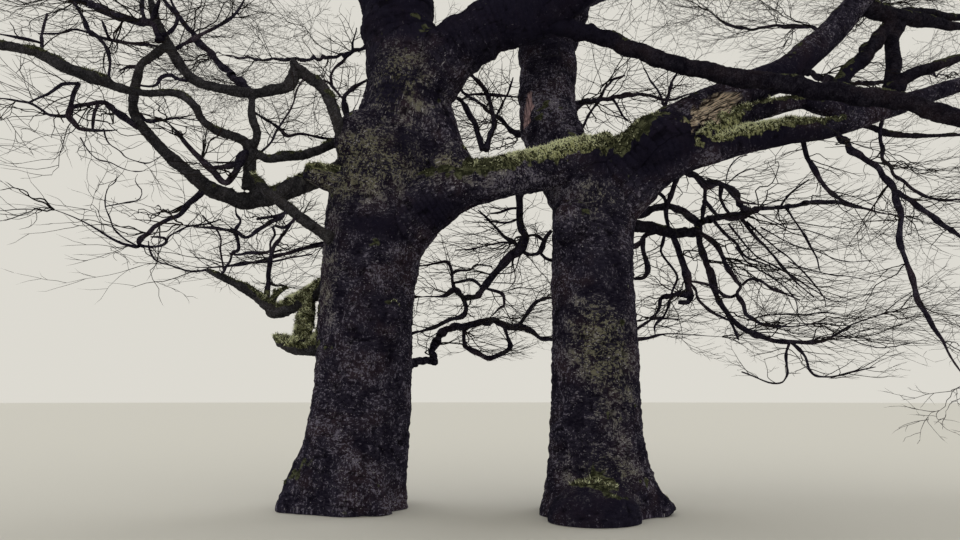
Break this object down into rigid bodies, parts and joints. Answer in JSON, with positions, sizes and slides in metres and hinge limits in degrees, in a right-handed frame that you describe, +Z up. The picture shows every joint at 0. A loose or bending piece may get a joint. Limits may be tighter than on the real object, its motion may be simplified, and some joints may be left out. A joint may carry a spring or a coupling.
{
  "type": "bare twin-stemmed tree",
  "caption": "A large bare broadleaf tree: stout rooted stems joined by a grown-together bough, with mossy spreading boughs and a crown of leafless twigs.",
  "frame": {"origin": "The middle of the left stem's flat cut at the ground.", "axes": "+Z up, +X from the left stem to the right stem and along the crown's longest reach, +Y to the back."},
  "size_m": [18.5002, 13.5328, 15.9132],
  "materials": {
    "bark": "rough grey-brown bark with lichen and moss",
    "mossy_bark": "bark under a shaggy coat of moss",
    "twigs": "dull dark brown twigs"
  },
  "bodies": {
    "root": {"stem_left": "bark", "stem_right": "bark", "leader_left": "bark", "arch_bough": "bark", "torn_bough": "bark", "mossy_bough": "bark", "leader_right": "bark", "joining_bough": "bark", "long_bough": "bark", "elbow_foot": "bark", "elbow_arm": "bark", "low_bough": "bark", "low_arm": "bark", "reaching_bough": "bark", "graft_post": "bark", "back_bough": "bark", "crossing_bough": "bark", "snag_bough": "mossy_bark", "right_crook": "bark", "crown_bough_1": "bark", "crown_bough_2": "bark", "crown_bough_3": "bark", "crown_bough_4": "bark", "crown_bough_5": "bark", "crown_bough_6": "bark", "twigs_hanging": "twigs", "twigs_low_back": "twigs", "twigs_right_sweep": "twigs", "twigs_right_level": "twigs", "twigs_right_inner": "twigs", "twigs_right_droop": "twigs", "twigs_far_right": "twigs", "twigs_right_fall": "twigs", "twigs_elbow_arm": "twigs", "twigs_elbow_fork": "twigs", "twigs_upper_left": "twigs", "twigs_left_side": "twigs", "twigs_left_under": "twigs", "twigs_left_crook": "twigs", "twigs_left_reach": "twigs", "twigs_crossing": "twigs", "twigs_snag": "twigs", "twigs_back_left": "twigs", "twigs_centre": "twigs", "twigs_window": "twigs", "twigs_over_long": "twigs", "twigs_upper_right": "twigs", "twigs_right_back": "twigs", "twigs_long_bough": "twigs", "twigs_mossy_bough": "twigs", "twigs_torn_bough": "twigs", "twigs_arch": "twigs", "twigs_leader_left": "twigs", "twigs_leader_right": "twigs", "twigs_crown_1": "twigs", "twigs_crown_2": "twigs", "twigs_crown_3": "twigs", "twigs_crown_4": "twigs", "twigs_crown_5": "twigs", "twigs_crown_6": "twigs"}
  },
  "joints": []
}
